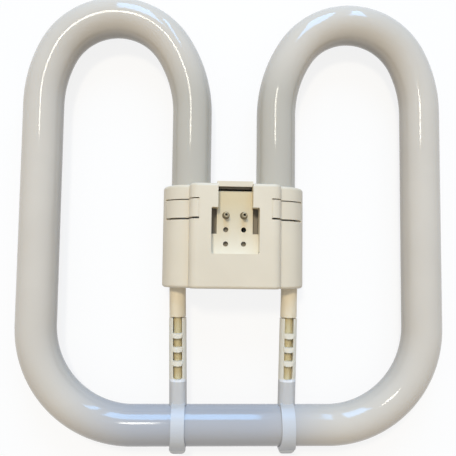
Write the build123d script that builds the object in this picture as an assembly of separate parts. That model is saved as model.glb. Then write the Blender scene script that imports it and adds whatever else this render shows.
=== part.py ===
"""Square compact fluorescent lamp, lying flat with its socket side up.

A glass tube is bent into a flat square with two arches. Its two ends meet in a moulded cap,
and two clips on rods run from the cap to the tube's bottom side.

Millimetres. +X is to the right, +Y is towards the arches, +Z is out of the socket.
The origin is the middle of the footprint, on the surface that the lamp lies on.
"""
import os
from math import acos, cos, degrees, radians, sin

from build123d import *

# Glass tube
TUBE_WIDTH = 197.4
TUBE_LENGTH = 208.4
TUBE_DIAMETER = 18.4
LEG_PITCH = 39.8
ARCH_TOP_TIGHTER = 3.5
ARCH_SIDE_WIDER = 23.2
ARCH_LEAN = 0.8
CORNER_RADIUS = 44.9
TUBE_END_ROUND = 3.0
PRESS_WIDTH = 11.0
PRESS_THICKNESS = 3.0
PRESS_LENGTH = 5.0
PRESS_ROUND = 1.0
LEAD_PITCH = 5.0

# Cap: two covers round the tube's ends
EAR_RADIUS = 12.75
CAP_HEIGHT = 46.2
CAP_TO_TUBE = 62.65
CAP_WALL = 1.6
PLATE_WIDTH = 40.8
PLATE_RISE = 6.75
SHOULDER_RADIUS = 4.0
CAP_TOP_ROUND = 1.5
CAP_FOOT_ROUND = 1.4
RIB_THICKNESS = 1.6
RIB_DEPTHS = (10.9, 28.4)
RIB_INNER_X = 11.0
COVER_LIP_HEIGHT = 2.0
COVER_LIP_THICKNESS = 1.2

# Keyed socket recess in the front cover
RECESS_DEPTH = 6.5
NECK_WIDTH = 15.3
RECESS_WIDTH = 21.1
NECK_LENGTH = 10.7
RECESS_END = 31.0
RECESS_CORNER = 0.6
RECESS_WALL = 1.3
FLOOR_THICKNESS = 1.6
WINDOW_WIDTH = 2.5
WINDOW_LENGTH = 11.3
POCKET_DEPTH = 3.6
POCKET_WALL = 1.2
LIP_PROUD = 1.6
LIP_SIDE = 0.4
LIP_INSET = 0.8
LIP_RISE = 1.0
SLOT_WIDTH = 1.9
SLOT_BEVEL = 0.8

# Contact pins and the empty pin holes
PIN_PITCH = 8.0
PIN_ROW_PITCH = 6.35
PIN_ROW_DEPTH = 13.8
PIN_DIAMETER = 2.3
PIN_BORE = 1.1
PIN_BORE_DEPTH = 4.0
PIN_PROUD = 5.0
PIN_TIP_BEVEL = 0.23
PIN_SHANK_DIAMETER = 3.3
PIN_SHANK_PROUD = 0.2
PIN_COLLAR_DIAMETER = 4.6
PIN_COLLAR_HEIGHT = 0.9
EMPTY_PIN_ROWS = 2
BOSS_THICKNESS = 2.2
BOSS_MARGIN = 1.4
BLIND_HOLE_DEPTH = 2.4
OPEN_HOLE_SIDE = 1
OPEN_HOLE_ROW = 1

# Snap tongues in the ears
TONGUE_DEPTH = 6.8
TONGUE_WIDTH = 8.6
TONGUE_ROOT_X = 15.9
TONGUE_END_ANGLE = 28.0
SLIT_WIDTH = 0.8
UPPER_SLIT_WIDTH = 0.5
TONGUE_END_GAP = 0.5
HINGE_GROOVE = 0.3

# Support rods
ROD_PITCH = 52.0
ROD_SHIFT = 0.6
ROD_LEAN = 1.2
BARREL_DIAMETER = 7.6
BARREL_LENGTH = 13.6
CORE_DIAMETER = 3.8
CORE_LENGTH = 34.0
ROD_COLLAR_DIAMETER = 8.4
ROD_COLLAR_THICKNESS = 1.5
ROD_TIP_BEVEL = 0.6

# Clips
SLEEVE_DIAMETER = 8.0
SLEEVE_BORE_REST = 1.0
SLEEVE_GAP = 0.4
WINDOW_SLOT_WIDTH = 4.1
BRIDGE_COUNT = 3
BRIDGE_PITCH = 6.2
BRIDGE_THICKNESS = 2.3
BRIDGE_SPAN = 4.8
BRIDGE_PROUD = 0.8
BRIDGE_ROUND = 1.6
FIRST_BRIDGE = 8.0
LAST_WINDOW = 6.3
WINDOW_END_ROUND = 1.3
STRAP_THICKNESS = 1.6
STRAP_WIDTH = 6.0
STRAP_TIP_WIDTH = 8.0
STRAP_FLARE_START = 3.0
STRAP_TIP_ROUND = 3.0
NOSE_REACH = 3.5
NOSE_RADIUS = 3.2
HOOK_OPENING_START = 15.0
HOOK_OPENING_END = 80.0

# Starter, its capacitor and the wires
STARTER_DIAMETER = 8.6
STARTER_LENGTH = 20.0
STARTER_BEVEL = 1.1
STARTER_X = -4.9
STARTER_DEPTH = 14.4
STARTER_LEAD_PITCH = 3.0
CAPACITOR_SIZE = (4.0, 11.0, 9.0)
CAPACITOR_X = 6.0
CAPACITOR_ROUND = 0.8
LEAD_DIAMETER = 1.0
LEAD_DROP = 3.5

# Clearances
GLASS_CLEARANCE = 0.25
ROD_CLEARANCE = 0.1
LEAD_CLEARANCE = 0.6
PIN_CLEARANCE = 0.05
COVER_CLEARANCE = 0.15
SEAT_CLEARANCE = 0.1

# Levels and places that follow from the sizes above
TUBE_RADIUS = TUBE_DIAMETER / 2
AXIS_Z = EAR_RADIUS
PLATE_Z = AXIS_Z + EAR_RADIUS + PLATE_RISE
FLOOR_Z = PLATE_Z - RECESS_DEPTH
FLOOR_BACK_Z = FLOOR_Z - FLOOR_THICKNESS
LEG_X = LEG_PITCH / 2
OUTER_X = TUBE_WIDTH / 2 - TUBE_RADIUS
BOTTOM_Y = -(TUBE_LENGTH + NOSE_REACH) / 2 + NOSE_REACH + TUBE_RADIUS
ARCH_TOP_Y = BOTTOM_Y + TUBE_LENGTH - TUBE_DIAMETER
CAP_BOTTOM = BOTTOM_Y + CAP_TO_TUBE
CAP_TOP = CAP_BOTTOM + CAP_HEIGHT
ROD_END_Y = CAP_BOTTOM + CAP_WALL + SEAT_CLEARANCE + ROD_COLLAR_THICKNESS
TUBE_END_Y = ROD_END_Y + LEAD_CLEARANCE + LEAD_DIAMETER / 2 + LEAD_DROP + PRESS_LENGTH
LEFT_ROD_X = ROD_SHIFT - ROD_PITCH / 2
RIGHT_ROD_X = ROD_SHIFT + ROD_PITCH / 2
PIN_Y = CAP_TOP - PIN_ROW_DEPTH
BARREL_END = CAP_BOTTOM - BARREL_LENGTH
SLEEVE_TOP = BARREL_END - SLEEVE_GAP

# How far a cut runs past the face that it opens, and a length past the whole lamp
CUT_OVER = 1.0
TALL = TUBE_LENGTH


def box_between(low, high):
    """A box from one corner to the opposite corner."""
    size = [b - a for a, b in zip(low, high)]
    middle = [(a + b) / 2 for a, b in zip(low, high)]
    return Pos(*middle) * Box(*size)


def rod_along_y(x, z, radius, start, end):
    """A round bar parallel to Y, from one Y to another."""
    plane = Plane(origin=(x, start, z), z_dir=(0, 1 if end > start else -1, 0))
    return extrude(plane * Circle(radius), abs(end - start))


def rod_x(side):
    """Place of a rod across the cap."""
    return RIGHT_ROD_X if side > 0 else LEFT_ROD_X


def leaned(solid, side):
    """A rod or sleeve turned inwards about the point where its rod leaves the cap."""
    pivot = (rod_x(side), CAP_BOTTOM, AXIS_Z)
    return Pos(*pivot) * Rot(0, 0, -side * ROD_LEAN) * Pos(*[-value for value in pivot]) * solid


def half_path(side):
    """Centreline of one half of the tube, from the middle of the bottom side to the leg's end."""
    half_arch = (OUTER_X - LEG_X) / 2
    top_radius = half_arch - ARCH_TOP_TIGHTER
    side_radius = half_arch + ARCH_SIDE_WIDER
    offset = side_radius - top_radius
    outer_turn = acos((ARCH_SIDE_WIDER + ARCH_LEAN) / offset)
    inner_turn = acos((ARCH_SIDE_WIDER - ARCH_LEAN) / offset)
    top_x = (OUTER_X + LEG_X) / 2 + ARCH_LEAN
    top_y = ARCH_TOP_Y - top_radius
    outer_y = top_y - offset * sin(outer_turn)
    inner_y = top_y - offset * sin(inner_turn)
    corner_x = OUTER_X - CORNER_RADIUS
    corner_y = BOTTOM_Y + CORNER_RADIUS
    outer_angle, inner_angle = degrees(outer_turn), degrees(inner_turn)
    edges = [
        Line((0, BOTTOM_Y), (corner_x, BOTTOM_Y)),
        CenterArc((corner_x, corner_y), CORNER_RADIUS, -90, 90),
        Line((OUTER_X, corner_y), (OUTER_X, outer_y)),
        CenterArc((OUTER_X - side_radius, outer_y), side_radius, 0, outer_angle),
        CenterArc((top_x, top_y), top_radius, outer_angle, 180 - outer_angle - inner_angle),
        CenterArc((LEG_X + side_radius, inner_y), side_radius, 180 - inner_angle, inner_angle),
        Line((LEG_X, inner_y), (LEG_X, TUBE_END_Y)),
    ]
    placed = [Pos(0, 0, AXIS_Z) * edge for edge in edges]
    return placed if side > 0 else [mirror(edge, Plane.YZ).edge() for edge in placed]


def discharge_tube():
    """The bent glass tube, sealed at each end by a rounded shoulder and a flat press."""
    tube = None
    for side in (-1, 1):
        start = Plane(origin=(0, BOTTOM_Y, AXIS_Z), z_dir=(side, 0, 0))
        half = sweep(start * Circle(TUBE_RADIUS), path=Wire(half_path(side)))
        half = fillet(half.faces().filter_by(Axis.Y)[0].edges(), TUBE_END_ROUND)
        press = box_between(
            (side * LEG_X - PRESS_WIDTH / 2, TUBE_END_Y - PRESS_LENGTH, AXIS_Z - PRESS_THICKNESS / 2),
            (side * LEG_X + PRESS_WIDTH / 2, TUBE_END_Y + TUBE_END_ROUND, AXIS_Z + PRESS_THICKNESS / 2),
        )
        half += fillet(press.edges().filter_by(Axis.Y), PRESS_ROUND)
        tube = half if tube is None else tube + half
    return tube


def cap_section(inset):
    """Cross-section of the closed cap, moved inwards: flat back, two ears round the tube, raised plate."""
    radius = EAR_RADIUS - inset
    plate_x = PLATE_WIDTH / 2 - inset
    plate_z = PLATE_Z - inset
    round_in = SHOULDER_RADIUS - inset
    crease_angle = degrees(acos((plate_x - LEG_X) / radius))
    crease_z = AXIS_Z + radius * sin(radians(crease_angle))
    right = [
        Line((0, inset), (LEG_X, inset)),
        CenterArc((LEG_X, AXIS_Z), radius, -90, 90 + crease_angle),
        Line((plate_x, crease_z), (plate_x, plate_z - round_in)),
        CenterArc((plate_x - round_in, plate_z - round_in), round_in, 0, 90),
        Line((plate_x - round_in, plate_z), (0, plate_z)),
    ]
    left = [mirror(edge, Plane.YZ).edge() for edge in right]
    return make_face(Wire(right + left))


def along_cap(section, depth, length):
    """A section of the cap extruded downwards from a depth below the cap's top end."""
    plane = Plane(origin=(0, CAP_TOP - depth, 0), x_dir=(1, 0, 0), z_dir=(0, -1, 0))
    return extrude(plane * section, length)


def cap_shell():
    """Both covers as one hollow block, with rounded ends and the saddle ribs inside."""
    block = along_cap(cap_section(0), 0, CAP_HEIGHT)
    block = fillet(block.faces().sort_by(Axis.Y)[-1].outer_wire().edges(), CAP_TOP_ROUND)
    block = fillet(block.faces().sort_by(Axis.Y)[0].outer_wire().edges(), CAP_FOOT_ROUND)
    hollow = along_cap(cap_section(CAP_WALL), CAP_WALL, CAP_HEIGHT - 2 * CAP_WALL)
    shell = block - hollow
    half_width = LEG_X + EAR_RADIUS - CAP_WALL
    for depth in RIB_DEPTHS:
        rib = along_cap(cap_section(CAP_WALL / 2), depth, RIB_THICKNESS)
        for side in (-1, 1):
            ends = sorted((side * RIB_INNER_X, side * half_width))
            shell += rib & box_between((ends[0], CAP_BOTTOM, 0), (ends[1], CAP_TOP, TALL))
    for side in (-1, 1):
        leg_bore = TUBE_RADIUS + GLASS_CLEARANCE
        rod_bore = BARREL_DIAMETER / 2 + ROD_CLEARANCE
        shell -= rod_along_y(side * LEG_X, AXIS_Z, leg_bore, CAP_TOP + TALL, TUBE_END_Y)
        bore = rod_along_y(rod_x(side), AXIS_Z, rod_bore, CAP_BOTTOM + CAP_WALL * 2, CAP_BOTTOM - TALL)
        shell -= leaned(bore, side)
    return shell


def keyway(grow):
    """Outline of the socket recess seen from the front: a neck open at the top and a wider part below."""
    neck_bottom = CAP_TOP - NECK_LENGTH
    neck = Pos(0, (CAP_TOP + TALL + neck_bottom) / 2) * Rectangle(
        NECK_WIDTH + 2 * grow, CAP_TOP + TALL - neck_bottom + 2 * grow)
    wide_height = RECESS_END - NECK_LENGTH
    wide = Pos(0, neck_bottom - wide_height / 2) * RectangleRounded(
        RECESS_WIDTH + 2 * grow, wide_height + 2 * grow, RECESS_CORNER + grow)
    return neck + wide


def pin_holes():
    """The bores that the pins' shanks fill, and two rows of empty holes, of which one goes through."""
    through = 2 * (FLOOR_THICKNESS + BOSS_THICKNESS + CUT_OVER)
    holes = []
    for side in (-1, 1):
        x = side * PIN_PITCH / 2
        bore = PIN_SHANK_DIAMETER / 2 + PIN_CLEARANCE
        holes.append(Pos(x, PIN_Y, FLOOR_Z) * Cylinder(bore, through))
        for row in range(1, EMPTY_PIN_ROWS + 1):
            y = PIN_Y - row * PIN_ROW_PITCH
            is_open = side == OPEN_HOLE_SIDE and row == OPEN_HOLE_ROW
            depth = through if is_open else 2 * BLIND_HOLE_DEPTH
            holes.append(Pos(x, y, FLOOR_Z) * Cylinder(PIN_DIAMETER / 2, depth))
    return holes


def hole_boss():
    """Thicker part under the recess floor that holds the empty pin holes."""
    margin = PIN_DIAMETER / 2 + BOSS_MARGIN
    half = PIN_PITCH / 2 + margin
    high_y = PIN_Y - PIN_ROW_PITCH + margin
    low_y = PIN_Y - EMPTY_PIN_ROWS * PIN_ROW_PITCH - margin
    return box_between((-half, low_y, FLOOR_BACK_Z - BOSS_THICKNESS), (half, high_y, FLOOR_BACK_Z))


def window_box(side, grow, low_z, high_z):
    """Space of one floor window between two levels, grown sideways and endways by a wall."""
    top = CAP_TOP - NECK_LENGTH
    xs = sorted((side * (RECESS_WIDTH / 2 + grow), side * (RECESS_WIDTH / 2 - WINDOW_WIDTH - grow)))
    return box_between((xs[0], top - WINDOW_LENGTH - grow, low_z), (xs[1], top + grow, high_z))


def tongue_cuts(side):
    """Two slits, the gap at the tongue's free end on the ear, and the shallow groove at its root."""
    end_x = LEG_X + EAR_RADIUS * cos(radians(TONGUE_END_ANGLE))
    end_z = AXIS_Z + EAR_RADIUS * sin(radians(TONGUE_END_ANGLE))
    xs = sorted((side * TONGUE_ROOT_X, side * end_x))
    upper = CAP_TOP - TONGUE_DEPTH
    cuts = []
    for y, width in ((upper, UPPER_SLIT_WIDTH), (upper - TONGUE_WIDTH, SLIT_WIDTH)):
        cuts.append(box_between((xs[0], y - width / 2, end_z), (xs[1], y + width / 2, TALL)))
    middle_y = upper - TONGUE_WIDTH / 2
    tilt = -side * TONGUE_END_ANGLE
    reach = side * EAR_RADIUS
    through = 2 * (CAP_WALL + CUT_OVER)
    gap = Pos(reach, 0, TONGUE_END_GAP / 2) * Box(through, TONGUE_WIDTH + SLIT_WIDTH, TONGUE_END_GAP)
    cuts.append(Pos(side * LEG_X, middle_y, AXIS_Z) * Rot(0, tilt, 0) * gap)
    groove = Box(HINGE_GROOVE, TONGUE_WIDTH, 2 * HINGE_GROOVE)
    cuts.append(Pos(side * (TONGUE_ROOT_X + HINGE_GROOVE / 2), middle_y, PLATE_Z) * groove)
    return cuts


def front_cover(shell):
    """Front half of the cap, with the socket recess hung from its plate."""
    cover = shell & box_between((-TALL, -TALL, AXIS_Z), (TALL, TALL, TALL))
    tub_height = PLATE_Z - CAP_WALL / 2 - FLOOR_BACK_Z
    tub = extrude(Pos(0, 0, FLOOR_BACK_Z) * keyway(RECESS_WALL), tub_height)
    inside = along_cap(cap_section(CAP_WALL / 2), CAP_WALL / 2, CAP_HEIGHT - CAP_WALL)
    cover += tub & inside
    cover += hole_boss()
    pocket_z = FLOOR_Z - POCKET_DEPTH
    for side in (-1, 1):
        cover += window_box(side, POCKET_WALL, pocket_z - POCKET_WALL, FLOOR_BACK_Z)
    cover -= extrude(Pos(0, 0, FLOOR_Z) * keyway(0), TALL)
    lip_back = CAP_TOP - LIP_INSET
    half_lip = NECK_WIDTH / 2 + LIP_SIDE
    cover += box_between((-half_lip, lip_back, AXIS_Z), (half_lip, CAP_TOP + LIP_PROUD, FLOOR_Z + LIP_RISE))
    half_neck = NECK_WIDTH / 2
    slot_low = lip_back - SLOT_WIDTH
    cover -= box_between((-half_neck, slot_low, FLOOR_BACK_Z - CUT_OVER), (half_neck, lip_back, TALL))
    cover -= Pos(0, slot_low, FLOOR_Z) * Rot(45, 0, 0) * Box(NECK_WIDTH, SLOT_BEVEL, SLOT_BEVEL)
    for side in (-1, 1):
        cover -= window_box(side, 0, pocket_z, FLOOR_Z + CUT_OVER)
        for cut in tongue_cuts(side):
            cover -= cut
    for hole in pin_holes():
        cover -= hole
    return cover - side_lip(COVER_CLEARANCE, AXIS_Z - CUT_OVER, AXIS_Z + COVER_LIP_HEIGHT + COVER_CLEARANCE)


def side_lip(clearance, low, high):
    """Upright lip just inside both side walls, between two levels, grown on all faces by a clearance."""
    outer = CAP_WALL + COVER_CLEARANCE - clearance
    inner = CAP_WALL + COVER_CLEARANCE + COVER_LIP_THICKNESS + clearance
    start = CAP_WALL * 2 + COVER_CLEARANCE - clearance
    length = CAP_HEIGHT - 2 * start - ROD_COLLAR_THICKNESS
    ring = along_cap(cap_section(outer) - cap_section(inner), start, length)
    slice_box = box_between((-TALL, -TALL, low), (TALL, TALL, high))
    middle = box_between((-LEG_X, -TALL, 0), (LEG_X, TALL, TALL))
    return (ring & slice_box) - middle


def rear_cover(shell):
    """Rear half of the cap, with a lip that reaches up inside the front half's side walls."""
    cover = shell & box_between((-TALL, -TALL, 0), (TALL, TALL, AXIS_Z))
    cover += side_lip(0, AXIS_Z, AXIS_Z + COVER_LIP_HEIGHT)
    return cover + side_lip(COVER_CLEARANCE, AXIS_Z - COVER_LIP_THICKNESS, AXIS_Z)


def contact_pin(side):
    """Hollow turned pin: a collar under the recess floor, a shank through it and the pin itself."""
    collar_z = FLOOR_BACK_Z - PIN_COLLAR_HEIGHT
    height = FLOOR_Z + PIN_PROUD - collar_z
    up = (Align.CENTER, Align.CENTER, Align.MIN)
    pin = Cylinder(PIN_DIAMETER / 2, height, align=up)
    pin = chamfer(pin.edges().sort_by(Axis.Z)[-1], PIN_TIP_BEVEL)
    shank_height = PIN_COLLAR_HEIGHT + FLOOR_THICKNESS + PIN_SHANK_PROUD
    pin += Cylinder(PIN_SHANK_DIAMETER / 2, shank_height, align=up)
    pin += Cylinder(PIN_COLLAR_DIAMETER / 2, PIN_COLLAR_HEIGHT, align=up)
    pin -= Pos(0, 0, height - PIN_BORE_DEPTH) * Cylinder(PIN_BORE / 2, PIN_BORE_DEPTH + CUT_OVER, align=up)
    return Pos(side * PIN_PITCH / 2, PIN_Y, collar_z) * pin


def support_rod(side):
    """Moulded rod: a collar caught inside the cap, a thick barrel below it and a thin core."""
    x = rod_x(side)
    tilt_room = ROD_COLLAR_DIAMETER / 2 * sin(radians(ROD_LEAN))
    inner = CAP_BOTTOM + CAP_WALL + SEAT_CLEARANCE + tilt_room
    rod = rod_along_y(x, AXIS_Z, BARREL_DIAMETER / 2, inner + ROD_COLLAR_THICKNESS, BARREL_END)
    rod += rod_along_y(x, AXIS_Z, ROD_COLLAR_DIAMETER / 2, inner, inner + ROD_COLLAR_THICKNESS)
    core = rod_along_y(x, AXIS_Z, CORE_DIAMETER / 2, BARREL_END + CORE_DIAMETER, BARREL_END - CORE_LENGTH)
    return leaned(rod + chamfer(core.edges().sort_by(Axis.Y)[0], ROD_TIP_BEVEL), side)


def window_spans():
    """Start and end of each window, as depths below the sleeve's top end."""
    spans = []
    start = -CUT_OVER
    for index in range(BRIDGE_COUNT):
        middle = FIRST_BRIDGE + index * BRIDGE_PITCH
        spans.append((start, middle - BRIDGE_THICKNESS / 2))
        start = middle + BRIDGE_THICKNESS / 2
    spans.append((start, start + LAST_WINDOW))
    return spans


def bridge(x, middle):
    """Arched tab across a window, seen from the front with a straight top and a rounded lower edge."""
    half = BRIDGE_THICKNESS / 2
    outline = Pos(x, middle) * Rectangle(BRIDGE_SPAN, BRIDGE_THICKNESS)
    outline = fillet(outline.vertices().group_by(Axis.Y)[0], BRIDGE_ROUND)
    ring = rod_along_y(x, AXIS_Z, SLEEVE_DIAMETER / 2 + BRIDGE_PROUD, middle + half, middle - half)
    ring -= rod_along_y(x, AXIS_Z, CORE_DIAMETER / 2 + ROD_CLEARANCE, middle + half, middle - half)
    return ring & extrude(Pos(0, 0, AXIS_Z) * outline, TALL)


def sleeve(side):
    """Tube that slides on the rod's core, with windows in its front and bridges across them."""
    x = rod_x(side)
    bore = CORE_DIAMETER / 2 + ROD_CLEARANCE
    bore_end = BARREL_END - CORE_LENGTH - SLEEVE_BORE_REST
    tube = rod_along_y(x, AXIS_Z, SLEEVE_DIAMETER / 2, SLEEVE_TOP, BOTTOM_Y)
    tube -= rod_along_y(x, AXIS_Z, bore, SLEEVE_TOP + CUT_OVER, bore_end)
    for start, end in window_spans():
        outline = Pos(x, SLEEVE_TOP - (start + end) / 2) * Rectangle(WINDOW_SLOT_WIDTH, end - start)
        if end == window_spans()[-1][1]:
            outline = fillet(outline.vertices().group_by(Axis.Y)[0], WINDOW_END_ROUND)
        tube -= extrude(Pos(0, 0, AXIS_Z) * outline, TALL)
    for index in range(BRIDGE_COUNT):
        tube += bridge(x, SLEEVE_TOP - FIRST_BRIDGE - index * BRIDGE_PITCH)
    return leaned(tube, side)


def strap_outline(x):
    """Outline of the strap seen from the front: straight, then flared to a rounded tip."""
    half = STRAP_WIDTH / 2
    tip = STRAP_TIP_WIDTH / 2
    flare_y = BOTTOM_Y - STRAP_FLARE_START
    tip_y = BOTTOM_Y - TUBE_RADIUS - NOSE_REACH
    top_y = BOTTOM_Y + EAR_RADIUS
    points = [(-half, top_y), (-half, flare_y), (-tip, tip_y), (tip, tip_y), (half, flare_y), (half, top_y)]
    face = make_face(Polyline(*points, close=True))
    corners = face.vertices().group_by(Axis.Y)[0]
    return Pos(x, 0) * fillet(corners, STRAP_TIP_ROUND)


def tube_clip(side):
    """White sleeve ending in a hook round the tube's bottom side, with a thick rounded nose."""
    x = rod_x(side) - side * (CAP_BOTTOM - BOTTOM_Y) * sin(radians(ROD_LEAN))
    length = 2 * STRAP_TIP_WIDTH
    plane = Plane(origin=(x - STRAP_TIP_WIDTH, BOTTOM_Y, AXIS_Z), x_dir=(0, 1, 0), z_dir=(1, 0, 0))
    nose_y = NOSE_RADIUS - TUBE_RADIUS - NOSE_REACH
    profile = Circle(TUBE_RADIUS + STRAP_THICKNESS) + Pos(nose_y, 0) * Circle(NOSE_RADIUS)
    hook = extrude(plane * profile, length) & extrude(strap_outline(x), TALL)
    hole = extrude(plane * Circle(TUBE_RADIUS + SEAT_CLEARANCE), length)
    reach = 2 * EAR_RADIUS
    opening = make_face(Polyline(
        (0, 0),
        (reach * cos(radians(HOOK_OPENING_START)), -reach * sin(radians(HOOK_OPENING_START))),
        (reach, -reach),
        (reach * cos(radians(HOOK_OPENING_END)), -reach * sin(radians(HOOK_OPENING_END))),
        close=True))
    return (sleeve(side) + (hook - extrude(plane * opening, length))) - hole


def starter_height():
    """Height of the starter's axis when it lies on the rear cover."""
    return CAP_WALL + SEAT_CLEARANCE + STARTER_DIAMETER / 2


def glow_starter():
    """Small closed can lying on the rear cover, between the tube's two legs."""
    top = CAP_TOP - STARTER_DEPTH
    can = rod_along_y(STARTER_X, starter_height(), STARTER_DIAMETER / 2, top, top - STARTER_LENGTH)
    return chamfer(can.edges().sort_by(Axis.Y)[-1], STARTER_BEVEL)


def starter_capacitor():
    """Small moulded block beside the starter."""
    width, length, height = CAPACITOR_SIZE
    top = CAP_TOP - STARTER_DEPTH
    low = CAP_WALL + SEAT_CLEARANCE
    half = width / 2
    block = box_between((CAPACITOR_X - half, top - length, low), (CAPACITOR_X + half, top, low + height))
    return fillet(block.edges().filter_by(Axis.Y), CAPACITOR_ROUND)


def lead(points):
    """A round wire along straight runs with mitred corners."""
    path = Polyline(*points)
    start = Plane(origin=path @ 0, z_dir=path % 0)
    return sweep(start * Circle(LEAD_DIAMETER / 2), path=path, transition=Transition.RIGHT)


def pin_lead(side):
    """Wire from a contact pin's collar to the inner lead of the tube's end on its side."""
    x = side * PIN_PITCH / 2
    end_x = side * (LEG_X - LEAD_PITCH / 2)
    start_z = FLOOR_BACK_Z - PIN_COLLAR_HEIGHT
    low_y = TUBE_END_Y - PRESS_LENGTH - LEAD_DROP
    return lead([
        (x, PIN_Y, start_z),
        (x, PIN_Y, start_z - LEAD_DROP),
        (side * (LEG_X - TUBE_RADIUS - LEAD_DROP), low_y + LEAD_DROP, AXIS_Z + LEAD_DROP),
        (end_x, low_y, AXIS_Z),
        (end_x, TUBE_END_Y - PRESS_LENGTH, AXIS_Z),
    ])


def starter_lead(side):
    """Wire from the starter's lower end to the outer lead of the tube's end on its side."""
    x = STARTER_X + side * STARTER_LEAD_PITCH / 2
    start_y = CAP_TOP - STARTER_DEPTH - STARTER_LENGTH
    end_x = side * (LEG_X + LEAD_PITCH / 2)
    low_y = TUBE_END_Y - PRESS_LENGTH - LEAD_DROP
    return lead([
        (x, start_y, starter_height()),
        (x, start_y - LEAD_DROP, starter_height()),
        (side * (LEG_X - TUBE_RADIUS), low_y, starter_height()),
        (end_x, low_y, AXIS_Z),
        (end_x, TUBE_END_Y - PRESS_LENGTH, AXIS_Z),
    ])


def build_nodes():
    """Every separate piece under its own name."""
    shell = cap_shell()
    nodes = {
        "discharge_tube": discharge_tube(),
        "front_cover": front_cover(shell),
        "rear_cover": rear_cover(shell),
        "glow_starter": glow_starter(),
        "starter_capacitor": starter_capacitor(),
    }
    for name, side in (("left", -1), ("right", 1)):
        nodes["contact_pin_" + name] = contact_pin(side)
        nodes["pin_lead_" + name] = pin_lead(side)
        nodes["starter_lead_" + name] = starter_lead(side)
        nodes["support_rod_" + name] = support_rod(side)
        nodes["tube_clip_" + name] = tube_clip(side)
    return nodes


os.makedirs("parts", exist_ok=True)
for node_name, solid in build_nodes().items():
    export_step(solid, os.path.join("parts", node_name + ".step"))
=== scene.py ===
from math import acos, cos, pi, radians, sin

import bmesh
import bpy
import numpy as np
from mathutils import Matrix, Vector


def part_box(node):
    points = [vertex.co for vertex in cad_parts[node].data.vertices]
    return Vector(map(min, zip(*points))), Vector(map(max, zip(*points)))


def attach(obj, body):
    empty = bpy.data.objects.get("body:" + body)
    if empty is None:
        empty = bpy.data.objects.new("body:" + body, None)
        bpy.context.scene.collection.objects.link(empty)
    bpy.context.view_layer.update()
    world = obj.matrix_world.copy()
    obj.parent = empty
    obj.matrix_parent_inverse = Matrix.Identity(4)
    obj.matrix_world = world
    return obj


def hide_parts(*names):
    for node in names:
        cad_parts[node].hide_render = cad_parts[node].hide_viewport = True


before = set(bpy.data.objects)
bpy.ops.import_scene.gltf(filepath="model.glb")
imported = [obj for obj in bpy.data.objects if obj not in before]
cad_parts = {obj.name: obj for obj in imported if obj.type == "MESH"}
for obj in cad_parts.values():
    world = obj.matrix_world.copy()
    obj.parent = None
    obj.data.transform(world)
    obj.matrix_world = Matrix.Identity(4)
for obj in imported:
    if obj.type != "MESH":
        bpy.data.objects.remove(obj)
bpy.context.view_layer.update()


# Camera
# It looks down on the lying lamp from a hand's height, a little left of and below its middle.
# Place, aim, roll and lens were fitted to the tube's outline and to the grid of pin holes.
CAMERA_AT = Vector((-0.01463, -0.02104, 0.27047))
CAMERA_AIM = Vector((-0.00238, -0.00286, 0.01275))
CAMERA_ROLL = radians(-0.70)
LENS = 43.5
SENSOR = 36.0


def aim(thing, place, target, roll=0.0):
    """Turn a camera or lamp so that it looks at the target with +Y up in its picture."""
    ahead = (target - place).normalized()
    level = (Vector((0, 1, 0)) - ahead * ahead.y).normalized()
    up = level * cos(roll) + ahead.cross(level) * sin(roll)
    turned = Matrix((ahead.cross(up), up, -ahead)).transposed().to_4x4()
    thing.matrix_world = Matrix.Translation(place) @ turned


camera = bpy.data.objects.new("camera", bpy.data.cameras.new("camera"))
camera.data.lens = LENS
camera.data.sensor_width = SENSOR
camera.data.clip_start = 0.01
bpy.context.scene.collection.objects.link(camera)
aim(camera, CAMERA_AT, CAMERA_AIM, CAMERA_ROLL)
bpy.context.scene.camera = camera


# Floor, light and backdrop
# A pale matt table under the lamp. A warm key and a small lamp share one place on the ceiling,
# the small one to draw the thin lines on the glass. A blue window in two panes stands behind
# the arches, and a soft dome, brighter on the window's side, fills the rest.
FLOOR_SIZE = 8.0
FLOOR_SEEN = 1.0
FLOOR_BOUNCE = 0.12
FLOOR_GLOW = 0.84
DOME_COLOUR = (0.98, 0.96, 0.94, 1)
DOME_LOW = 0.62
DOME_HIGH = 0.38
DOME_NEAR = 0.88
DOME_FAR = 1.25
CEILING_PLACE = (-0.17, 0.36, 1.0)
CEILING_COLOUR = (1.0, 0.97, 0.84)
WINDOW_COLOUR = (0.24, 0.55, 1.0)
PANELS = (
    ("ceiling_lamp", CEILING_PLACE, (0, 0, 0), (0.12, 0.19), 1.0, CEILING_COLOUR),
    ("window_left", (-0.04, 1.2, 0.8), (-0.04, 0, 0), (0.42, 0.80), 9.0, WINDOW_COLOUR),
    ("window_right", (0.44, 1.2, 0.8), (0.44, 0, 0), (0.14, 0.80), 3.1, WINDOW_COLOUR),
)
KEY_AIM = (0.02, -0.04, 0)
KEY_ANGLE = 0.62
KEY_POWER = 16.3
KEY_COLOUR = (1.0, 0.875, 0.66)
KEY_SOFTNESS = 0.07

bpy.context.scene.view_settings.view_transform = "Standard"


def seen_directly(tree):
    """A factor that is 1 for camera, mirror and glass rays and 0 for the rest."""
    path = tree.nodes.new("ShaderNodeLightPath")
    either = path.outputs["Is Camera Ray"]
    for ray in ("Is Glossy Ray", "Is Transmission Ray"):
        join = tree.nodes.new("ShaderNodeMath")
        join.operation = "MAXIMUM"
        tree.links.new(either, join.inputs[0])
        tree.links.new(path.outputs[ray], join.inputs[1])
        either = join.outputs[0]
    return either


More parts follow.
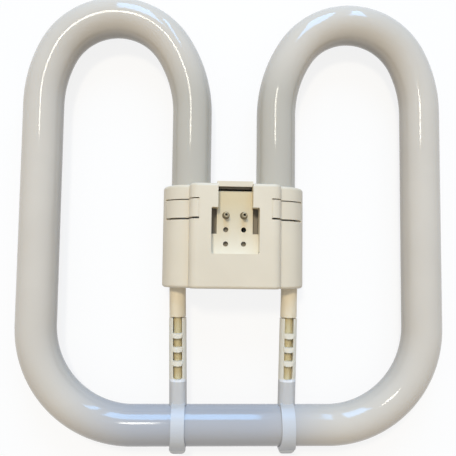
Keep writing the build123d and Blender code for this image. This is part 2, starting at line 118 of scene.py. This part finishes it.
def mixed(tree, factor, one, other):
    """Two shaders mixed by a factor, which is a socket or a number."""
    mix = tree.nodes.new("ShaderNodeMixShader")
    if isinstance(factor, float):
        mix.inputs[0].default_value = factor
    else:
        tree.links.new(factor, mix.inputs[0])
    tree.links.new(one, mix.inputs[1])
    tree.links.new(other, mix.inputs[2])
    return mix.outputs[0]


world = bpy.data.worlds.new("studio")
world.use_nodes = True
bpy.context.scene.world = world
air = world.node_tree
dome = air.nodes["Background"]
dome.inputs["Color"].default_value = DOME_COLOUR
direction = air.nodes.new("ShaderNodeTexCoord")
split = air.nodes.new("ShaderNodeSeparateXYZ")
rise = air.nodes.new("ShaderNodeMapRange")
rise.inputs["To Min"].default_value = DOME_LOW
rise.inputs["To Max"].default_value = DOME_HIGH
behind = air.nodes.new("ShaderNodeMapRange")
behind.inputs["From Min"].default_value = -1.0
behind.inputs["To Min"].default_value = DOME_NEAR
behind.inputs["To Max"].default_value = DOME_FAR
strength = air.nodes.new("ShaderNodeMath")
strength.operation = "MULTIPLY"
air.links.new(direction.outputs["Generated"], split.inputs[0])
air.links.new(split.outputs["Z"], rise.inputs["Value"])
air.links.new(split.outputs["Y"], behind.inputs["Value"])
air.links.new(rise.outputs[0], strength.inputs[0])
air.links.new(behind.outputs[0], strength.inputs[1])
air.links.new(strength.outputs[0], dome.inputs["Strength"])
white = air.nodes.new("ShaderNodeBackground")
white.inputs["Color"].default_value = (1, 1, 1, 1)
sky = mixed(air, seen_directly(air), dome.outputs[0], white.outputs[0])
air.links.new(sky, air.nodes["World Output"].inputs[0])

bpy.ops.mesh.primitive_plane_add(size=FLOOR_SIZE, location=(0, 0, 0))
floor = bpy.context.object
floor.name = "floor"
table = bpy.data.materials.new("table")
table.use_nodes = True
top = table.node_tree
seen = top.nodes["Principled BSDF"]
seen.inputs["Base Color"].default_value = (FLOOR_SEEN, FLOOR_SEEN, FLOOR_SEEN, 1)
seen.inputs["Roughness"].default_value = 1.0
seen.inputs["Specular IOR Level"].default_value = 0.0
glow = top.nodes.new("ShaderNodeEmission")
glow.inputs["Color"].default_value = (1, 1, 1, 1)
bounce = top.nodes.new("ShaderNodeBsdfDiffuse")
bounce.inputs["Color"].default_value = (FLOOR_BOUNCE, FLOOR_BOUNCE, FLOOR_BOUNCE, 1)
pale = mixed(top, FLOOR_GLOW, seen.outputs[0], glow.outputs[0])
surface = mixed(top, seen_directly(top), bounce.outputs[0], pale)
top.links.new(surface, top.nodes["Material Output"].inputs[0])
floor.data.materials.append(table)

for name, place, target, size, power, colour in PANELS:
    panel = bpy.data.lights.new(name, "AREA")
    panel.shape = "RECTANGLE"
    panel.size, panel.size_y = size
    panel.energy = power
    panel.color = colour
    holder = bpy.data.objects.new(name, panel)
    bpy.context.scene.collection.objects.link(holder)
    aim(holder, Vector(place), Vector(target))

key = bpy.data.lights.new("warm_key", "SPOT")
key.energy = KEY_POWER
key.color = KEY_COLOUR
key.spot_size = KEY_ANGLE
key.spot_blend = 1.0
key.shadow_soft_size = KEY_SOFTNESS
holder = bpy.data.objects.new("warm_key", key)
holder.visible_glossy = False
bpy.context.scene.collection.objects.link(holder)
aim(holder, Vector(CEILING_PLACE), Vector(KEY_AIM))


# Discharge tube
# One glass tube, softened and bent flat in a mould: two arches, two long sides, two wide
# corners and a straight bottom side. It is white because its inside is coated with powder.
TUBE_RADIUS = 0.0092
LEG_X = 0.0199
SIDE_X = 0.0895
ARCH_TOP_TIGHTER = 0.0035
ARCH_SIDE_WIDER = 0.0232
ARCH_LEAN = 0.0008
CORNER_RADIUS = 0.0449
TUBE_END_Y = -0.0178
PRESS_LENGTH = 0.005
PRESS_HALF = (0.0055, 0.0015)
END_SHOULDER = 0.006
ROUND_STEPS = 72
LENGTH_STEP = 0.0012
# Painted shade on the tube: the middle of the bottom side, darker and bluer.
COOL_SHADE_ZONE = ((-0.014, -0.095, 0.0127), (0.024, 0.008, 0.02), (0.044, 0.03, 0.02))
# Painted shade on the tube: the inner legs by the cap, greyer.
LEG_SHADE_ZONE = ((0, 0.015, 0.0127), (0.031, 0.040, 0.02), (0.010, 0.030, 0.02))
NOISE_SPREAD = (0.35, 0.65)
NOISE_DETAIL = 3.0
GLASS_ROUGHNESS = 0.07
GLASS_INDEX = 1.5
GLASS_WAVES = 0.00003


def srgb(red, green, blue):
    """A screen colour from 0 to 255 as the linear colour that a shader wants."""
    part = np.array((red, green, blue)) / 255
    line = np.where(part < 0.04045, part / 12.92, ((part + 0.055) / 1.055) ** 2.4)
    return (*line.tolist(), 1.0)


def principled(name, colour, roughness):
    """A new material, its node tree and its main shader."""
    material = bpy.data.materials.new(name)
    material.use_nodes = True
    shader = material.node_tree.nodes["Principled BSDF"]
    shader.inputs["Base Color"].default_value = colour
    shader.inputs["Roughness"].default_value = roughness
    return material, material.node_tree, shader


def noise_mix(tree, scale, *colours):
    """Two colours mixed by soft noise on the object's own coordinates."""
    place = tree.nodes.new("ShaderNodeTexCoord")
    noise = tree.nodes.new("ShaderNodeTexNoise")
    noise.inputs["Scale"].default_value = scale
    noise.inputs["Detail"].default_value = NOISE_DETAIL
    ramp = tree.nodes.new("ShaderNodeValToRGB")
    for stop, position, colour in zip(ramp.color_ramp.elements, NOISE_SPREAD, colours):
        stop.position = position
        stop.color = colour
    tree.links.new(place.outputs["Object"], noise.inputs["Vector"])
    tree.links.new(noise.outputs["Fac"], ramp.inputs[0])
    return ramp.outputs[0]


def noise_bump(tree, shader, scale, depth, detail):
    """A fine uneven surface from noise on the object's coordinates, its depth in metres."""
    place = tree.nodes.new("ShaderNodeTexCoord")
    noise = tree.nodes.new("ShaderNodeTexNoise")
    noise.inputs["Scale"].default_value = scale
    noise.inputs["Detail"].default_value = detail
    bump = tree.nodes.new("ShaderNodeBump")
    bump.inputs["Distance"].default_value = depth
    tree.links.new(place.outputs["Object"], noise.inputs["Vector"])
    tree.links.new(noise.outputs["Fac"], bump.inputs["Height"])
    tree.links.new(bump.outputs[0], shader.inputs["Normal"])


def inside_box(tree, centre, half, soft):
    """A factor that is 1 inside a box in the object's coordinates and eases to 0 over a margin.
    A zone holds the box's middle, half size and margin."""
    place = tree.nodes.new("ShaderNodeTexCoord").outputs["Object"]
    steps = (("SUBTRACT", centre), ("ABSOLUTE", (0, 0, 0)), ("SUBTRACT", half), ("DIVIDE", soft))
    for operation, value in steps:
        step = tree.nodes.new("ShaderNodeVectorMath")
        step.operation = operation
        step.inputs[1].default_value = value
        tree.links.new(place, step.inputs[0])
        place = step.outputs[0]
    split = tree.nodes.new("ShaderNodeSeparateXYZ")
    tree.links.new(place, split.inputs[0])
    farthest = split.outputs["X"]
    for axis in "YZ":
        larger = tree.nodes.new("ShaderNodeMath")
        larger.operation = "MAXIMUM"
        tree.links.new(farthest, larger.inputs[0])
        tree.links.new(split.outputs[axis], larger.inputs[1])
        farthest = larger.outputs[0]
    fade = tree.nodes.new("ShaderNodeMapRange")
    fade.interpolation_type = "SMOOTHSTEP"
    fade.inputs["To Min"].default_value = 1.0
    fade.inputs["To Max"].default_value = 0.0
    tree.links.new(farthest, fade.inputs["Value"])
    return fade.outputs[0]


def tinted(tree, colour, other, factor):
    """One colour mixed towards another by a factor, the second being a socket or a plain colour."""
    mix = tree.nodes.new("ShaderNodeMix")
    mix.data_type = "RGBA"
    tree.links.new(factor, mix.inputs["Factor"])
    tree.links.new(colour, mix.inputs[6])
    if isinstance(other, tuple):
        mix.inputs[7].default_value = other
    else:
        tree.links.new(other, mix.inputs[7])
    return mix.outputs[2]


def arc_points(centre, radius, start, end, step):
    """Points round a centre: centre plus radius times (cos, sin) of evenly spaced angles."""
    count = max(2, int(abs(end - start) * radius / step))
    angle = np.linspace(start, end, count, endpoint=False)
    return np.stack((centre[0] + radius * np.cos(angle), centre[1] + radius * np.sin(angle)), 1)


def line_points(start, end, step):
    """Evenly spaced points from start towards end, without the end itself."""
    start, end = np.array(start), np.array(end)
    count = max(2, int(np.linalg.norm(end - start) / step))
    return start + (end - start) * np.linspace(0, 1, count, endpoint=False)[:, None]


def tube_route():
    """Centreline from the left end to the right end: straight runs joined by tangent arcs."""
    low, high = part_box("discharge_tube")
    bottom_y = low.y + TUBE_RADIUS
    top_y = high.y - TUBE_RADIUS
    half_arch = (SIDE_X - LEG_X) / 2
    top_radius, side_radius = half_arch - ARCH_TOP_TIGHTER, half_arch + ARCH_SIDE_WIDER
    offset = side_radius - top_radius
    leans = (ARCH_LEAN, -ARCH_LEAN)
    outer_turn, inner_turn = (acos((ARCH_SIDE_WIDER + lean) / offset) for lean in leans)
    crown_x, crown_y = (SIDE_X + LEG_X) / 2 + ARCH_LEAN, top_y - top_radius
    outer_y, inner_y = (crown_y - offset * sin(turn) for turn in (outer_turn, inner_turn))
    corner_x, corner_y = SIDE_X - CORNER_RADIUS, bottom_y + CORNER_RADIUS
    end_y = TUBE_END_Y - PRESS_LENGTH
    right = np.concatenate((
        line_points((0, bottom_y), (corner_x, bottom_y), LENGTH_STEP),
        arc_points((corner_x, corner_y), CORNER_RADIUS, -pi / 2, 0, LENGTH_STEP),
        line_points((SIDE_X, corner_y), (SIDE_X, outer_y), LENGTH_STEP),
        arc_points((SIDE_X - side_radius, outer_y), side_radius, 0, outer_turn, LENGTH_STEP),
        arc_points((crown_x, crown_y), top_radius, outer_turn, pi - inner_turn, LENGTH_STEP),
        arc_points((LEG_X + side_radius, inner_y), side_radius, pi - inner_turn, pi, LENGTH_STEP),
        line_points((LEG_X, inner_y), (LEG_X, end_y), LENGTH_STEP / 2),
        np.array(((LEG_X, end_y),)),
    ))
    left = right[:0:-1] * (-1, 1)
    return np.concatenate((left, right)), (low.z + high.z) / 2


def grid_mesh(name, points):
    """A closed mesh from a grid of points: rows along the piece, columns round it, two end caps."""
    rows, columns = points.shape[:2]
    index = np.arange(rows * columns).reshape(rows, columns)
    beside = np.roll(index, -1, axis=1)
    faces = np.stack((index[:-1], beside[:-1], beside[1:], index[1:]), -1).reshape(-1, 4).tolist()
    faces += [index[0][::-1].tolist(), index[-1].tolist()]
    mesh = bpy.data.meshes.new(name)
    mesh.from_pydata(points.reshape(-1, 3).tolist(), [], faces)
    mesh.polygons.foreach_set("use_smooth", np.ones(len(mesh.polygons), bool))
    mesh.update()
    piece = bpy.data.objects.new(name, mesh)
    bpy.context.scene.collection.objects.link(piece)
    return piece


def swept_tube():
    """Each ring is the centreline point plus cos(a) times half-width along the flat normal plus
    sin(a) times half-height along +Z. Both halves equal the tube's radius, and near the ends they
    shrink to the flat press as a quarter circle of the distance from it."""
    route, axis_z = tube_route()
    ahead = np.gradient(route, axis=0)
    ahead /= np.linalg.norm(ahead, axis=1)[:, None]
    across = np.stack((ahead[:, 1], -ahead[:, 0]), 1)
    steps = np.linalg.norm(np.diff(route, axis=0), axis=1)
    run = np.concatenate(((0,), np.cumsum(steps)))
    from_end = np.minimum(run, run[-1] - run) - PRESS_LENGTH
    ease = np.clip(from_end / END_SHOULDER, 0, 1)
    ease = np.sqrt(1 - (1 - ease) ** 2)
    half_width = PRESS_HALF[0] + (TUBE_RADIUS - PRESS_HALF[0]) * ease
    half_height = PRESS_HALF[1] + (TUBE_RADIUS - PRESS_HALF[1]) * ease
    angle = np.linspace(0, 2 * pi, ROUND_STEPS, endpoint=False)
    side = half_width[:, None] * np.cos(angle)
    points = np.empty((len(route), ROUND_STEPS, 3))
    points[:, :, :2] = route[:, None] + side[:, :, None] * across[:, None]
    points[:, :, 2] = axis_z + half_height[:, None] * np.sin(angle)
    return grid_mesh("bent_tube", points)


def phosphor_glass():
    """Clear glossy glass over warm white powder, with painted shade: darker and bluer along the
    middle of the bottom side, and greyer on the inner legs towards the tube's ends."""
    material, tree, shader = principled("phosphor_glass", srgb(209, 202, 191), GLASS_ROUGHNESS)
    colour = noise_mix(tree, 22, srgb(207, 200, 189), srgb(213, 206, 195))
    # Painted shade: the middle of the bottom side is painted darker and bluer, where the warm light
    # does not reach.
    colour = tinted(tree, colour, srgb(176, 178, 184), inside_box(tree, *COOL_SHADE_ZONE))
    # Painted shade: the inner legs by the cap are painted greyer.
    colour = tinted(tree, colour, srgb(190, 185, 174), inside_box(tree, *LEG_SHADE_ZONE))
    tree.links.new(colour, shader.inputs["Base Color"])
    shader.inputs["IOR"].default_value = GLASS_INDEX
    noise_bump(tree, shader, 60, GLASS_WAVES, 1.0)
    return material


tube = swept_tube()
tube.data.materials.append(phosphor_glass())
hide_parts("discharge_tube")
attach(tube, "root")


# Cap covers
# Two moulded halves of cream plastic that snap together round the tube's ends. The front one
# holds the keyed socket recess and the slit tongues. The moulding's edges are lightly rounded.
COVER_EDGE = 0.00022
RECESS_SPAN = (-0.015, 0.008)
RECESS_YELLOW_AND_SHADE_ZONE = ((0, -0.0005, 0.0278), (0.0105, 0.0151, 0.0030), (0.0004, 0.0002, 0.0008))
OPENING_SHADE_ZONE = ((0, 0, 0.0205), (0.0108, 0.0152, 0.0046), (0.0004, 0.0004, 0.0006))
PLASTIC_ROUGHNESS = 0.42
GRAIN_SCALE = 1500
GRAIN_DEPTH = 0.00003
SHARP = radians(32)
FLAT = radians(0.5)
WELD = 1e-6


def softened(node, edge, segments=3):
    """A merged copy of a CAD node with small rounded edges, standing for that node."""
    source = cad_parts[node]
    form = bmesh.new()
    form.from_mesh(source.data)
    bmesh.ops.remove_doubles(form, verts=form.verts, dist=WELD)
    bmesh.ops.dissolve_limit(form, angle_limit=FLAT, verts=form.verts, edges=form.edges)
    mesh = bpy.data.meshes.new(node + "_soft")
    form.to_mesh(mesh)
    form.free()
    mesh.polygons.foreach_set("use_smooth", np.ones(len(mesh.polygons), bool))
    mesh.set_sharp_from_angle(angle=SHARP)
    piece = bpy.data.objects.new(node + "_soft", mesh)
    bpy.context.scene.collection.objects.link(piece)
    rounding = piece.modifiers.new("rounded_edges", "BEVEL")
    rounding.width = edge
    rounding.segments = segments
    rounding.limit_method = "ANGLE"
    rounding.angle_limit = SHARP
    rounding.harden_normals = True
    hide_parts(node)
    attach(piece, "root")
    return piece


def cap_finish():
    """Cream plastic. The recess floor is a yellower plastic, painted darker towards its narrow
    upper end as shade, and the openings under it are painted grey-brown as shade.
    """
    material, tree, shader = principled("cap_plastic", srgb(226, 216, 196), PLASTIC_ROUGHNESS)
    colour = noise_mix(tree, 35, srgb(223, 213, 193), srgb(229, 219, 199))
    # Partly painted shade: the recess floor is a yellower plastic, painted darker and yellower
    # towards its narrow upper end, where shade and bounce light from the cream walls fall.
    place = tree.nodes.new("ShaderNodeTexCoord")
    split = tree.nodes.new("ShaderNodeSeparateXYZ")
    fade = tree.nodes.new("ShaderNodeValToRGB")
    along = tree.nodes.new("ShaderNodeMapRange")
    for end, value in zip(("From Min", "From Max"), RECESS_SPAN):
        along.inputs[end].default_value = value
    fade.color_ramp.elements[0].color = srgb(234, 227, 210)
    fade.color_ramp.elements[1].color = srgb(220, 204, 168)
    tree.links.new(place.outputs["Object"], split.inputs[0])
    tree.links.new(split.outputs["Y"], along.inputs["Value"])
    tree.links.new(along.outputs[0], fade.inputs[0])
    colour = tinted(tree, colour, fade.outputs[0], inside_box(tree, *RECESS_YELLOW_AND_SHADE_ZONE))
    # Painted shade: the openings under the recess floor are painted grey-brown.
    colour = tinted(tree, colour, srgb(158, 150, 135), inside_box(tree, *OPENING_SHADE_ZONE))
    tree.links.new(colour, shader.inputs["Base Color"])
    noise_bump(tree, shader, GRAIN_SCALE, GRAIN_DEPTH, 2.0)
    return material


cap_plastic = cap_finish()
for node in ("front_cover", "rear_cover"):
    cover = softened(node, COVER_EDGE)
    cover.data.materials.append(cap_plastic)


# Contact pins
# Two hollow turned pins, nickel plated and dull from handling. They are pressed through the
# recess floor, and a lead joins each one under it.
PIN_EDGE = 0.00006
PIN_X = 0.004
PIN_Y = 0.0018
TOP_HIGHLIGHT_ZONE = ((0, PIN_Y, 0.0310), (0.006, 0.003, 0.0003), (0.001, 0.001, 0.0002))
BORE_Z = 0.0290
BORE_HALF = (0.00046, 0.00046, 0.0020)
BORE_MARGIN = (0.00014, 0.00014, 0.0002)


def pin_metal():
    """Dull plate, browned on the sides, with a painted highlight on the top face and painted shade
    inside the bore.
    """
    material, tree, shader = principled("pin_metal", srgb(122, 111, 88), 0.32)
    shader.inputs["Metallic"].default_value = 0.8
    colour = noise_mix(tree, 500, srgb(112, 101, 78), srgb(134, 123, 100))
    # Painted highlight: the pins' top face is painted brighter.
    colour = tinted(tree, colour, srgb(182, 171, 144), inside_box(tree, *TOP_HIGHLIGHT_ZONE))
    # Painted shade: the inside of each pin's bore is painted near black.
    for x in (-PIN_X, PIN_X):
        bore = inside_box(tree, (x, PIN_Y, BORE_Z), BORE_HALF, BORE_MARGIN)
        colour = tinted(tree, colour, srgb(24, 20, 12), bore)
    tree.links.new(colour, shader.inputs["Base Color"])
    noise_bump(tree, shader, 900, 0.00001, 4.0)
    return material


plate = pin_metal()
for word in ("left", "right"):
    pin = softened("contact_pin_" + word, PIN_EDGE, 2)
    pin.data.materials.append(plate)


# Support rods
# Cream moulded rods that come out of the cap's lower end: a thick barrel and a thin core. A
# collar inside the cap holds each one, and the clips slide on the cores.
ROD_EDGE = 0.00015
CORE_YELLOW_AND_SHADE_ZONE = ((0, -0.065, 0.0127), (0.1, 0.0204, 0.01), (0.001, 0.0003, 0.001))


def rod_finish():
    """Cream plastic on the barrel, and a more golden, darker one on the core that the windows show:
    partly a yellower plastic, partly painted shade from the window walls.
    """
    material, tree, shader = principled("rod_plastic", srgb(232, 219, 192), PLASTIC_ROUGHNESS)
    colour = noise_mix(tree, 35, srgb(229, 216, 188), srgb(236, 224, 199))
    # Partly painted shade: the core in the windows is a yellower plastic, painted darker as the
    # window walls shade it.
    colour = tinted(tree, colour, srgb(210, 197, 158), inside_box(tree, *CORE_YELLOW_AND_SHADE_ZONE))
    tree.links.new(colour, shader.inputs["Base Color"])
    noise_bump(tree, shader, GRAIN_SCALE, GRAIN_DEPTH, 2.0)
    return material


rod_plastic = rod_finish()
for word in ("left", "right"):
    rod = softened("support_rod_" + word, ROD_EDGE)
    rod.data.materials.append(rod_plastic)


# Tube clips
# White moulded sleeves that slide on the rods' cores. Bridges cross their windows, and a
# hook at the lower end grips the tube's bottom side.
CLIP_EDGE = 0.00018
CLIP_ROUGHNESS = 0.38
WINDOW_LIGHT_ZONE = ((0, -0.0585, 0.0127), (0.1, 0.0138, 0.01), (0.001, 0.0006, 0.001))
LIP_HIGHLIGHT_ZONE = ((0, -0.0727, 0.0170), (0.1, 0.0004, 0.0020), (0.001, 0.0004, 0.001))
HOOK_BLUE_LIGHT_ZONE = ((0, -0.0990, 0.0190), (0.1, 0.0142, 0.0125), (0.001, 0.001, 0.004))


def white_plastic():
    """Satin white plastic with a very fine grain, and painted light: lighter and creamier round the
    windows, a pale painted highlight on the lip under the last of them, and bluer on the hook."""
    material, tree, shader = principled("clip_plastic", srgb(200, 199, 198), CLIP_ROUGHNESS)
    colour = noise_mix(tree, 60, srgb(197, 196, 195), srgb(204, 203, 201))
    # Painted light: the sleeve round the windows is painted lighter and warmer, as where the warm
    # light falls.
    colour = tinted(tree, colour, srgb(232, 227, 212), inside_box(tree, *WINDOW_LIGHT_ZONE))
    # Painted highlight: a pale band on the lip under the last window.
    colour = tinted(tree, colour, srgb(238, 240, 244), inside_box(tree, *LIP_HIGHLIGHT_ZONE))
    # Painted light: the hook is painted bluer, standing for blue window light and its reflection.
    colour = tinted(tree, colour, srgb(203, 206, 211), inside_box(tree, *HOOK_BLUE_LIGHT_ZONE))
    tree.links.new(colour, shader.inputs["Base Color"])
    noise_bump(tree, shader, GRAIN_SCALE, GRAIN_DEPTH, 2.0)
    return material


clip_plastic = white_plastic()
for word in ("left", "right"):
    clip = softened("tube_clip_" + word, CLIP_EDGE)
    clip.data.materials.append(clip_plastic)


# Starter, capacitor and leads
# The parts that light the tube lie inside the closed cap: a small aluminium can, a moulded
# capacitor and four insulated wires.
HIDDEN_SCALE = 200


def hidden_finish(name, low, high, roughness, metallic=0.0):
    """A plain finish with a slow drift between two colours."""
    material, tree, shader = principled(name, low, roughness)
    shader.inputs["Metallic"].default_value = metallic
    tree.links.new(noise_mix(tree, HIDDEN_SCALE, low, high), shader.inputs["Base Color"])
    return material


can_metal = hidden_finish("starter_can", srgb(190, 192, 194), srgb(205, 206, 207), 0.3, 1.0)
case_plastic = hidden_finish("capacitor_case", srgb(60, 72, 105), srgb(70, 84, 118), 0.3)
wire_cover = hidden_finish("wire", srgb(214, 213, 205), srgb(222, 221, 214), 0.4)
finishes = {"glow_starter": can_metal, "starter_capacitor": case_plastic}
for word in ("left", "right"):
    finishes["pin_lead_" + word] = wire_cover
    finishes["starter_lead_" + word] = wire_cover
for node, finish in finishes.items():
    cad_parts[node].material_slots[0].material = finish
